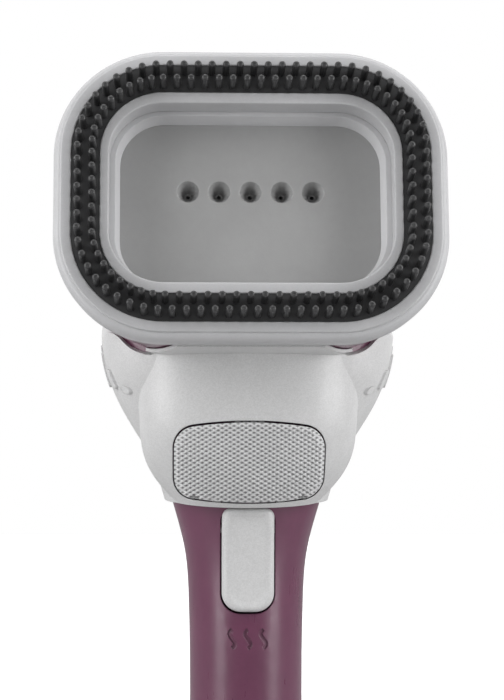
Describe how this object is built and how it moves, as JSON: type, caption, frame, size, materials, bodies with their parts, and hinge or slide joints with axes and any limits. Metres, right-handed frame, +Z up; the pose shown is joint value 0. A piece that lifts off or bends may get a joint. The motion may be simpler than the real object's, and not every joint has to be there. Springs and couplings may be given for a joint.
{
  "type": "handheld garment steamer",
  "caption": "Handheld garment steamer: wide tilted steam head with removable bristle frame, swelling purple handle with trigger, textured release pad, rear water tank",
  "frame": {"origin": "centre of the flat base that the steamer stands on", "axes": "+Z up along the handle, the steam head faces -Y, +X to the right of someone who looks at the head"},
  "size_m": [0.1294, 0.128, 0.2765],
  "materials": {
    "purple_shell": "satin purple moulding",
    "light_shell": "light grey moulding, fine satin",
    "bezel": "light grey heat-resistant moulding",
    "pad_grip": "grey textured grip",
    "bristle": "black silicone",
    "plate": "bead-blasted and anodised",
    "heater": "die cast",
    "steel": "plain",
    "spring": "drawn wire",
    "tank": "smoky clear moulding",
    "soft_seal": "silicone",
    "black_plastic": "fine matte",
    "hose": "milky silicone",
    "lens": "opal light guide",
    "board": "green circuit board",
    "shield": "thin sheet",
    "ceramic": "ceramic"
  },
  "bodies": {
    "main": {"front_housing": "purple_shell", "rear_housing": "purple_shell", "base_cap": "purple_shell", "housing_screw_1": "steel", "housing_screw_2": "steel", "housing_screw_3": "steel", "housing_screw_4": "steel", "cord_gland": "black_plastic", "terminal_block": "black_plastic", "tank_cradle": "purple_shell", "collar": "light_shell", "release_pin": "steel", "release_spring": "spring", "trigger_pin": "steel", "micro_switch": "black_plastic", "trigger_spring": "spring", "light_ring": "lens", "power_spring": "spring", "control_board": "board", "intake_port": "black_plastic", "pump_body": "black_plastic", "suction_hose": "hose", "delivery_hose": "hose", "head_bezel": "bezel", "steam_plate": "plate", "plate_seal": "soft_seal", "heater_block": "heater", "heating_element": "steel", "heat_shield": "shield", "thermostat": "ceramic", "thermal_fuse": "ceramic", "plate_screw_1": "steel", "plate_screw_2": "steel", "plate_screw_3": "steel", "plate_screw_4": "steel"},
    "brush": {"brush_frame": "light_shell", "bristle_strip": "bristle", "bristles": "bristle"},
    "trigger_lever": {"trigger": "light_shell"},
    "plunger": {"switch_plunger": "lens"},
    "release": {"release_button": "pad_grip"},
    "power": {"power_button": "light_shell"},
    "tank": {"water_tank": "tank", "tank_valve": "soft_seal"},
    "stopper": {"tank_stopper": "soft_seal"},
    "piston": {"pump_piston": "steel"}
  },
  "joints": [
    {"name": "brush_pull", "type": "slide", "parent": "main", "child": "brush", "axis": [0, -0.9848, 0.1736], "range_m": [0, 0.022]},
    {"name": "trigger_press", "type": "hinge", "parent": "main", "child": "trigger_lever", "pos_m": [0, -0.016, 0.118], "axis": [1, 0, 0], "range_deg": [0, 4.5], "stiffness_Nm_per_rad": 0.2, "springref_deg": -5.73, "deforming": ["trigger_spring"]},
    {"name": "plunger_slide", "type": "slide", "parent": "main", "child": "plunger", "axis": [0, 1, 0], "range_m": [0, 0.00145]},
    {"name": "release_press", "type": "hinge", "parent": "main", "child": "release", "pos_m": [0, -0.0293, 0.1296], "axis": [-1, 0, 0], "range_deg": [0, 2], "stiffness_Nm_per_rad": 0.2, "springref_deg": -5.73, "deforming": ["release_spring"]},
    {"name": "power_press", "type": "slide", "parent": "main", "child": "power", "axis": [0, 0, -1], "range_m": [0, 0.0015], "stiffness_N_per_m": 400, "springref_m": -0.002, "deforming": ["power_spring"]},
    {"name": "tank_pull", "type": "slide", "parent": "main", "child": "tank", "axis": [0, 1, 0], "range_m": [0, 0.045]},
    {"name": "stopper_pull", "type": "slide", "parent": "tank", "child": "stopper", "axis": [0, 1, 0], "range_m": [0, 0.014]},
    {"name": "piston_stroke", "type": "slide", "parent": "main", "child": "piston", "axis": [0, 0, 1], "range_m": [-0.002, 0.002], "stiffness_N_per_m": 500}
  ],
  "couplings": [
    {"joint": "plunger_slide", "follows": "trigger_press", "m_per_rad": 0.0175}
  ]
}
